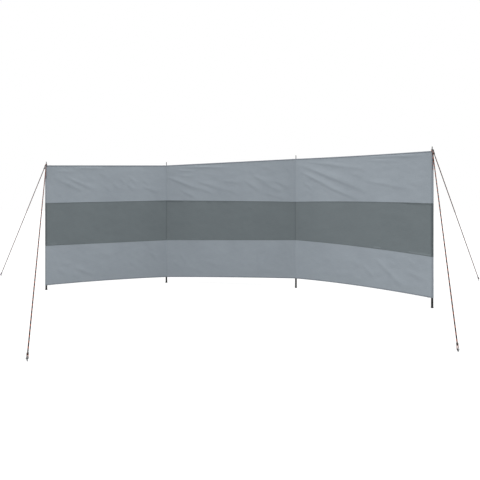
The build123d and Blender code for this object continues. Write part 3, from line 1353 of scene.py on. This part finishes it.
@dataclass(frozen=True)
class PoleSleeve:
    """The cloth round one pole, its top tab with an eyelet, and its sewing.

    tab_section and eyelet_section are closed sections round the pole's axis, as radius and height. slack
    is how far the cloth wavers where it leaves the pole. It comes in over slack_in from the flange, and
    goes out over slack_out up to slack_end, which is measured from the strip's own end. end_shade and
    flange_shade darken the cloth that lies double at the sleeve's ends and in its flanges, as painted shade.
    The tab reaches 0.6 mm past the pocket's inner face.
    """

    layout: Layout
    number: int
    thickness: float = 0.0014
    row_step: float = 0.010
    arc_points: int = 14
    slack: float = 0.0012
    slack_in: float = 0.010
    slack_out: float = 0.012
    slack_end: float = 0.046
    stripe_blur: float = 0.0005
    end_shade: float = 0.32
    flange_shade: float = 0.19
    sewing_step: float = 0.006
    thread_stand: float = 0.0002
    below_top: float = 0.0003
    ring_sides: int = 40
    tab_section: tuple[tuple[float, float], ...] = (
        (0.0056, 0.0), (0.0085, 0.0), (0.0122, 0.0), (0.0122, -0.0014), (0.0085, -0.0014), (0.0056, -0.0014),
    )
    eyelet_section: tuple[tuple[float, float], ...] = (
        (0.0053, -0.0018), (0.0053, 0.0002), (0.0057, 0.0005), (0.0068, 0.0005),
        (0.0086, 0.0002), (0.0088, -0.0002), (0.0088, -0.0018),
    )

    @property
    def low(self) -> float:
        """Height of the sleeve's bottom."""
        return self.layout.level(Edge.HEM_BOTTOM, self.number)

    @property
    def high(self) -> float:
        """Height of the sleeve's top."""
        return self.layout.level(Edge.HEM_TOP, self.number)

    @property
    def at_end(self) -> bool:
        """Whether the sleeve is on one of the two end poles."""
        return self.number in (0, self.layout.bays)

    def outline(self) -> list[tuple[float, float]]:
        """Plan of the sleeve's inner face, from its left end to its right end.

        Returns:
            Points in the sleeve's own plan.
        """
        layout = self.layout
        radius = layout.pocket_radius
        lean = layout.half_turn(self.number)
        wall = (radius * math.sin(lean), -radius * math.cos(lean))
        leave, tip = (
            (wall[0] - reach * math.cos(lean), wall[1] - reach * math.sin(lean))
            for reach in (layout.sleeve_leave, layout.sleeve_leave + layout.sleeve_flange)
        )
        middle = ((tip[0] + leave[0]) / 2, (tip[1] + leave[1]) / 2)
        touch = (math.atan2(leave[1], leave[0]) - math.acos(radius / math.hypot(*leave))) % (2 * math.pi)
        tangent = (radius * math.cos(touch), radius * math.sin(touch))
        slope = [
            (leave[0] + (tangent[0] - leave[0]) * part, leave[1] + (tangent[1] - leave[1]) * part)
            for part in (0.35, 0.7)
        ]
        left = [tip, middle, leave, *slope]
        right = [(-x, y) for x, y in reversed(left)]

        def arc(first: float, second: float) -> list[tuple[float, float]]:
            """Points on the pocket's circle, from one angle to another."""
            angles = np.linspace(first, second, self.arc_points)
            return [(radius * math.cos(a), radius * math.sin(a)) for a in angles]

        if self.number == 0:
            return arc(1.5 * math.pi, math.pi - touch) + right
        if self.at_end:
            return left + arc(touch, -0.5 * math.pi)
        return left + arc(touch, math.pi - touch) + right

    def strip(self) -> Piece:
        """The strip of cloth, a little slack where it leaves the pole."""
        plan = self.outline()
        rows = round((self.high - self.low) / self.row_step)
        seams = [self.layout.level(edge, self.number) for edge in (Edge.LOWER_SEAM, Edge.UPPER_SEAM)]
        edges = [seam + side for seam in seams for side in (-self.stripe_blur, self.stripe_blur)]
        levels = np.unique(np.concatenate([np.linspace(self.low, self.high, rows + 1), edges]))
        striped = (levels > seams[0]) & (levels < seams[1]) & self.at_end
        lengths = running_length(plan)
        ends = np.minimum(lengths, lengths[-1] - lengths)
        flange = self.layout.sleeve_flange
        growing = np.clip((ends - flange) / self.slack_in, 0, 1)
        loose = growing * np.clip((self.slack_end - ends) / self.slack_out, 0, 1)
        headings = self.layout.bay_headings
        beside = (headings[max(0, self.number - 1)], headings[min(self.number, self.layout.bays - 1)])
        place = self.layout.poles[self.number]
        frame = Matrix.Translation(place) @ Matrix.Rotation(math.radians(sum(beside) / 2), 4, "Z")
        grid = np.zeros((len(levels), len(plan), 3))
        for i, level in enumerate(levels):
            for j, (x, y) in enumerate(plan):
                wave = noise.noise(Vector((level * 14.0, x * 40.0 + self.number * 5.0, 1.0)))
                grid[i, j] = frame @ Vector((x, y + loose[j] * self.slack * wave, level))
        uv = np.stack(np.meshgrid(lengths, levels), axis=-1)
        # Painted shade: darker where the cloth lies double, at the sleeve's hemmed ends and in its flanges
        tops = np.minimum(levels - self.low, self.high - levels)
        painted_end_shade = np.where((tops < self.layout.hem_height)[:, None], self.end_shade, 0.0)
        # A tenth of a millimetre more than the flange, so that its last point counts
        painted_shade = painted_end_shade + np.where((ends < flange + 0.0001)[None, :], self.flange_shade, 0.0)
        marks = {"painted_cloth_shade": painted_shade, "dark_stripe": np.broadcast_to(striped[:, None], painted_shade.shape)}
        return thickened(sheet_from_grid(f"sleeve_{self.number + 1}", grid, uv, marks), self.thickness)

    def turned(self, name: str, section: Sequence[tuple[float, float]]) -> Piece:
        """A ring round the pole's axis, just under the sleeve's top.

        Args:
            name: Name of the piece.
            section: Closed section of the ring, as radius and height.

        Returns:
            The ring.
        """
        place = self.layout.poles[self.number] + UP * (self.high - self.below_top)
        count = len(section)
        points = []
        faces = []
        for side in range(self.ring_sides):
            out = heading(360.0 * side / self.ring_sides)
            points.extend(place + out * r + UP * z for r, z in section)
            here, there = side * count, (side + 1) % self.ring_sides * count
            for i in range(count):
                after = (i + 1) % count
                faces.append([here + i, there + i, there + after, here + after])
        made = closed_shell(mesh_object(name, points, faces))
        made.data.uv_layers.new(name=UV_MAP)
        return smoothed(made, 50.0)

    def rows(self, bays: Sequence[ClothBay], spans: Sequence[tuple[float, float]]) -> list[Path]:
        """Rows of sewing through cloth and flange, on both faces.

        Args:
            bays: The bays of cloth.
            spans: Lowest and highest point of each stretch of sewing.

        Returns:
            Points of each row.
        """
        layout = self.layout
        found = []
        behind = layout.cloth_back - self.thickness - self.thread_stand
        offsets = (layout.cloth_front + self.thread_stand, behind)
        from_pole = layout.sleeve_leave + layout.sleeve_flange / 2
        for bay in bays:
            if self.number not in (bay.number, bay.number + 1):
                continue
            along = from_pole if self.number == bay.number else bay.length - from_pole
            for low, high in spans:
                levels = np.linspace(low, high, round((high - low) / self.sewing_step))
                for offset in offsets:
                    start, end = bay.mitre(offset)
                    share = np.full(len(levels), (along - start) / (end - start))
                    points = bay.points(share, levels, np.full(len(levels), offset))
                    found.append([Vector(p) for p in points])
        return found


class Windbreak:
    """The whole windbreak, built piece by piece round the CAD frame.

    Attributes:
        folds: Drag folds of each bay, as the pull of the top corners leaves them. Each gives its start and
            its end, along the bay and down from its top, then its height, and the widths of its upper and
            lower slopes where they aren't the usual ones.
    """

    folds = (
        (
            (0.14, 0.175, 0.42, 0.305, 0.0046), (0.20, 0.125, 0.60, 0.315, 0.0046, 0.030),
            (0.30, 0.026, 0.68, 0.034, 0.0052, 0.016, 0.016),
            (0.10, 0.066, 0.33, 0.078, 0.0022, 0.018, 0.016),
            (0.60, 0.09, 0.74, 0.17, 0.0020), (0.66, 0.24, 0.76, 0.32, 0.0022),
            (0.76, 0.21, 0.85, 0.29, 0.0026, 0.026), (0.85, 0.15, 0.92, 0.23, 0.0024, 0.024),
            (0.95, 0.12, 1.08, 0.25, 0.0030, 0.026), (0.94, 0.23, 1.03, 0.31, 0.0024),
            (1.13, 0.17, 1.23, 0.26, 0.0026), (1.13, 0.255, 1.36, 0.35, 0.0034),
            (0.32, 1.205, 0.54, 1.305, 0.0046, 0.030), (0.10, 1.17, 0.22, 1.29, 0.0026),
            (0.29, 1.26, 0.38, 1.33, 0.0024), (0.16, 1.12, 0.27, 1.165, 0.0022),
            (0.14, 0.98, 0.23, 1.03, 0.0020), (0.60, 1.03, 0.76, 1.11, 0.0018),
            (0.95, 1.17, 1.10, 1.28, 0.0020), (1.22, 1.06, 1.33, 1.20, 0.0020),
        ),
        (
            (0.01, 0.145, 0.46, 0.325, 0.0052), (0.38, 0.285, 0.66, 0.385, 0.0030),
            (0.40, 0.215, 0.75, 0.33, 0.0042), (0.18, 0.31, 0.40, 0.425, 0.0034),
            (0.13, 0.028, 0.81, 0.060, 0.0048, 0.016, 0.016),
            (0.16, 0.068, 0.36, 0.088, 0.0030, 0.014, 0.014),
            (0.17, 0.135, 0.36, 0.155, 0.0018, 0.016, 0.016), (0.48, 0.12, 0.66, 0.16, 0.0018),
            (0.73, 0.225, 0.96, 0.255, 0.0028, 0.026, 0.018), (0.75, 0.32, 0.96, 0.405, 0.0024),
            (0.99, 0.215, 1.20, 0.375, 0.0044), (1.10, 0.175, 1.32, 0.28, 0.0036),
            (1.20, 0.255, 1.46, 0.385, 0.0036), (1.36, 0.25, 1.56, 0.345, 0.0030),
            (1.26, 0.39, 1.50, 0.475, 0.0026), (1.21, 0.065, 1.40, 0.14, 0.0018),
            (1.49, 0.07, 1.58, 0.18, 0.0018), (1.17, 1.10, 1.18, 1.36, 0.0024, 0.016, 0.016),
            (1.27, 1.05, 1.21, 1.34, 0.0022, 0.018, 0.016), (0.08, 1.20, 0.25, 1.31, 0.0020),
            (0.18, 1.10, 0.29, 1.26, 0.0020), (0.30, 1.27, 0.50, 1.35, 0.0018),
            (0.50, 1.20, 0.73, 1.28, 0.0018), (0.92, 1.20, 1.03, 1.28, 0.0018),
            (1.50, 1.06, 1.54, 1.29, 0.0016),
        ),
        (
            (0.10, 0.085, 0.96, 0.385, 0.0074, 0.060, 0.024), (0.08, 0.155, 0.58, 0.37, 0.0062, 0.034, 0.022),
            (0.42, 0.32, 0.86, 0.47, 0.0048), (0.12, 0.275, 0.28, 0.385, 0.0036),
            (0.18, 0.040, 0.93, 0.145, 0.0042, 0.028, 0.020),
            (0.82, 0.018, 1.58, 0.034, 0.0056, 0.014, 0.014),
            (0.93, 0.055, 1.29, 0.080, 0.0026, 0.014, 0.014), (0.90, 0.265, 1.45, 0.365, 0.0040),
            (0.69, 0.17, 0.89, 0.23, 0.0020), (0.38, 0.335, 0.54, 0.41, 0.0024),
            (0.15, 0.365, 0.31, 0.45, 0.0022), (1.39, 0.295, 1.56, 0.34, 0.0020),
            (1.22, 0.17, 1.22, 0.30, 0.0014, 0.014, 0.014), (1.29, 0.16, 1.28, 0.31, 0.0016, 0.014, 0.014),
            (1.38, 0.18, 1.38, 0.30, 0.0014, 0.014, 0.014), (1.47, 0.16, 1.46, 0.29, 0.0014, 0.014, 0.014),
            (1.02, 1.065, 1.37, 1.36, 0.0048, 0.040, 0.022), (0.90, 1.16, 1.03, 1.30, 0.0030),
            (1.37, 1.17, 1.61, 1.255, 0.0036), (1.38, 1.04, 1.49, 1.15, 0.0026),
            (0.48, 1.16, 0.59, 1.29, 0.0018), (0.76, 1.05, 0.82, 1.19, 0.0018),
            (0.21, 1.14, 0.39, 1.22, 0.0016), (1.18, 1.08, 1.25, 1.15, 0.0018),
        ),
    )

    def __init__(self) -> None:
        """Loads the frame and builds the finishes and the tools."""
        self.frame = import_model()
        self.cad_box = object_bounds()
        self.layout = Layout()
        self.finishes = Finishes()
        self.sewing = Sewing()
        self.maker = CordMaker()
        self.bays = [
            ClothBay(self.layout, number, tuple(Fold(*numbers) for numbers in folds))
            for number, folds in enumerate(self.folds)
        ]

    def dress_frame(self) -> None:
        """Gives the poles, feet and pins their materials. Their CAD shapes stay."""
        slots = {"pole_foot_": Slot.FOOT_PLASTIC, "pole_pin_": Slot.PIN_STEEL, "pole_": Slot.POLE_STEEL}
        for name, node in self.frame["nodes"].items():
            slot = next((slot for prefix, slot in slots.items() if name.startswith(prefix)), None)
            if slot and not name.startswith("pole_sleeve"):
                node.data.materials.clear()
                node.data.materials.append(self.finishes.by_slot[slot])
                LOG.info("%s: %s", name, slot.value)

    def build_bay(self, bay: ClothBay) -> None:
        """Builds one bay's bands, hems and stitching.

        Args:
            bay: The bay of cloth.
        """
        label = f"bay_{bay.number + 1}"
        poles = (bay.number, bay.number + 1)
        # Each band: name, edges, slot, height of the mesh's rows, and depth of the pole's painted shadow
        bands = (
            ("lower_band", Edge.HEM_BOTTOM, Edge.LOWER_SEAM, Slot.LIGHT_CLOTH, 0.013, 0.06),
            ("middle_band", Edge.LOWER_SEAM, Edge.UPPER_SEAM, Slot.DARK_CLOTH, 0.016, 1.0),
            ("upper_band", Edge.UPPER_SEAM, Edge.HEM_TOP, Slot.LIGHT_CLOTH, 0.009, 0.22),
        )
        for name, edge in (("bottom_hem", Edge.HEM_BOTTOM), ("top_hem", Edge.HEM_TOP)):
            cloth = bay.hem(f"{label}_{name}_cloth", edge)
            dressed(
                cloth, self.finishes.by_slot[Slot.HEM_CLOTH], f"{label}_{name}"
            )
        hem_shifts = (self.layout.hem_height * bay.hem_row,)
        hem_rows = bay.rows(Edge.HEM_BOTTOM, Edge.HEM_TOP, hem_shifts, bay.hem_stands)
        seam_rows = bay.rows(Edge.LOWER_SEAM, Edge.UPPER_SEAM, bay.seam_rows, bay.seam_stands)
        light, dark = self.finishes.light_thread, self.finishes.dark_thread
        hem_stitches = self.sewing.sew(f"{label}_hem_stitches", hem_rows, light)
        dressed(hem_stitches, light)
        seam_stitches = self.sewing.sew(f"{label}_seam_stitches", seam_rows, dark)
        dressed(seam_stitches, dark)
        for name, low, high, slot, row_step, pole_shadow in bands:
            cloth = bay.band(f"{label}_{name}_cloth", low, high, row_step, pole_shadow)
            dressed(cloth, self.finishes.by_slot[slot], f"{label}_{name}")
            first, second = (self.layout.level(high, pole) - self.layout.level(low, pole) for pole in poles)

    def build_sleeve(self, sleeve: PoleSleeve) -> None:
        """Builds one pole's sleeve, tab, eyelet and sewing.

        Args:
            sleeve: The sleeve.
        """
        number = sleeve.number + 1
        material = self.finishes.by_slot[Slot.SLEEVE_CLOTH]
        strip = dressed(sleeve.strip(), material, f"pole_sleeve_{number}")
        tab = sleeve.turned(f"sleeve_tab_{number}", sleeve.tab_section)
        dressed(tab, material)
        eyelet = sleeve.turned(f"eyelet_{number}", sleeve.eyelet_section)
        dressed(eyelet, self.finishes.brass)
        lower, upper = (self.layout.level(edge, sleeve.number) for edge in (Edge.LOWER_SEAM, Edge.UPPER_SEAM))
        margin = 0.004
        light_spans = ((sleeve.low + margin, lower - margin), (upper + margin, sleeve.high - margin))
        dark_spans = ((lower + margin, upper - margin),)
        for shade, spans, thread in (
            ("light", light_spans, self.finishes.light_thread),
            ("dark", dark_spans, self.finishes.dark_thread),
        ):
            rows = sleeve.rows(self.bays, spans)
            sewn = self.sewing.sew(f"sleeve_{shade}_stitches_{number}", rows, thread)
            dressed(sewn, thread)
        float(running_length(sleeve.outline())[-1])
        sleeve.high - sleeve.low

    def build(self) -> None:
        """Builds every piece."""
        self.dress_frame()
        for bay in self.bays:
            self.build_bay(bay)
        for number in range(self.layout.bays + 1):
            self.build_sleeve(PoleSleeve(self.layout, number))
        for rope in (
            GuyRope(self.layout, "left_back", 145.5, 1.498, lower_eye=True, tailed=False),
            GuyRope(self.layout, "left_front", -59.9, 2.789, lower_eye=False, tailed=True),
            GuyRope(self.layout, "right_front", -92.9, 1.496, lower_eye=True, tailed=True),
            GuyRope(self.layout, "right_back", 66.5, 2.192, lower_eye=False, tailed=False),
        ):
            rope.build(self.maker, self.finishes)


@dataclass(frozen=True)
class Studio:
    """White floor, white surroundings, soft light and the photograph's camera.

    Each lamp has the azimuth and the height of its source in degrees, its strength, and its spread in
    degrees.
    """

    ambient: float = 0.66
    floor_show: float = 0.75
    floor_half: float = 60.0
    floor_bounce: str = "#a8a8a8"
    floor_paper: str = "#f6f6f6"
    camera_place: tuple[float, float, float] = (3.3305, -5.2411, 0.9875)
    camera_heading: float = 14.03
    lens: float = 38.25
    shift: tuple[float, float] = (0.05, -0.0742)
    lamps: tuple[tuple[float, float, float, float], ...] = (
        (-162.0, 44.0, 1.86, 70.0),
        (-8.0, 44.0, 1.60, 70.0),
        (-88.0, 72.0, 0.86, 30.0),
        (100.0, 55.0, 0.5, 40.0),
    )

    def white_share(self, add: Adder, share: float) -> Node:
        """Share of plain white that rays from the camera, in gloss and through glass see.

        Args:
            add: Adds nodes to the tree.
            share: Share of white that these rays get.

        Returns:
            The share's node, 0 for every other ray.
        """
        rays = add("ShaderNodeLightPath").outputs
        seen = add("ShaderNodeMath", [rays["Is Camera Ray"], rays["Is Glossy Ray"]], operation="MAXIMUM")
        either = add("ShaderNodeMath", [seen, rays["Is Transmission Ray"]], operation="MAXIMUM")
        return add("ShaderNodeMath", [either, share], operation="MULTIPLY")

    def floor(self) -> None:
        """The floor: white, and it keeps a light share of the object's shadow."""
        half = self.floor_half
        corners = [(-half, -half, 0.0), (half, -half, 0.0), (half, half, 0.0), (-half, half, 0.0)]
        plane = mesh_object("floor", corners, [[0, 1, 2, 3]])
        material, add = new_material("plain white floor")
        # The camera sees white paper, and the light that it throws up at the object is that of a grey floor
        seen = add("ShaderNodeLightPath").outputs["Is Camera Ray"]
        paper = painted(add, self.floor_bounce, (seen, 0.0, 1.0, 1.0, self.floor_paper))
        matt = add("ShaderNodeBsdfDiffuse", {"Color": paper})
        white = add("ShaderNodeEmission", [WHITE, 1.0])
        mixed = add("ShaderNodeMixShader", [self.white_share(add, self.floor_show), matt, white])
        add("ShaderNodeOutputMaterial", {"Surface": mixed})
        plane.data.materials.append(material)
        plane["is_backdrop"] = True

    def world(self) -> None:
        """Even ambient light, with white behind the object."""
        world = bpy.data.worlds.new("white studio")
        world.use_nodes = True
        world.node_tree.nodes.clear()
        add = partial(add_node, world.node_tree)
        light, white = (add("ShaderNodeBackground", [WHITE, strength]) for strength in (self.ambient, 1.0))
        mixed = add("ShaderNodeMixShader", [self.white_share(add, 1.0), light, white])
        add("ShaderNodeOutputWorld", {"Surface": mixed})
        bpy.context.scene.world = world

    def light(self) -> None:
        """Soft sources to the left and the right of the sheltered side, above it, and one behind."""
        for number, (azimuth, height, strength, spread) in enumerate(self.lamps):
            data = bpy.data.lights.new(f"studio_lamp_{number + 1}", "SUN")
            data.energy = strength
            data.angle = math.radians(spread)
            lamp = bpy.data.objects.new(data.name, data)
            source = heading(azimuth) * math.cos(math.radians(height)) + UP * math.sin(math.radians(height))
            lamp.rotation_euler = source.to_track_quat("Z", "Y").to_euler()
            lamp.location = source * 10.0
            bpy.context.scene.collection.objects.link(lamp)

    def camera(self) -> None:
        """The photograph's camera: level, at about chest height."""
        data = bpy.data.cameras.new("photo_camera")
        data.sensor_width = 36.0
        data.lens = self.lens
        data.shift_x, data.shift_y = self.shift
        data.clip_end = 200.0
        camera = bpy.data.objects.new("photo_camera", data)
        camera.location = self.camera_place
        camera.rotation_euler = (math.radians(90.0), 0.0, math.radians(self.camera_heading))
        bpy.context.scene.collection.objects.link(camera)
        bpy.context.scene.camera = camera

    def build(self) -> None:
        """Sets up the studio."""
        bpy.context.scene.view_settings.view_transform = "Standard"
        self.floor()
        self.world()
        self.light()
        self.camera()


def main() -> None:
    """Builds the windbreak and its studio."""
    logging.basicConfig(level=logging.INFO, format="%(name)s: %(message)s")
    windbreak = Windbreak()
    windbreak.build()
    Studio().build()


if __name__ == "__main__":
    main()
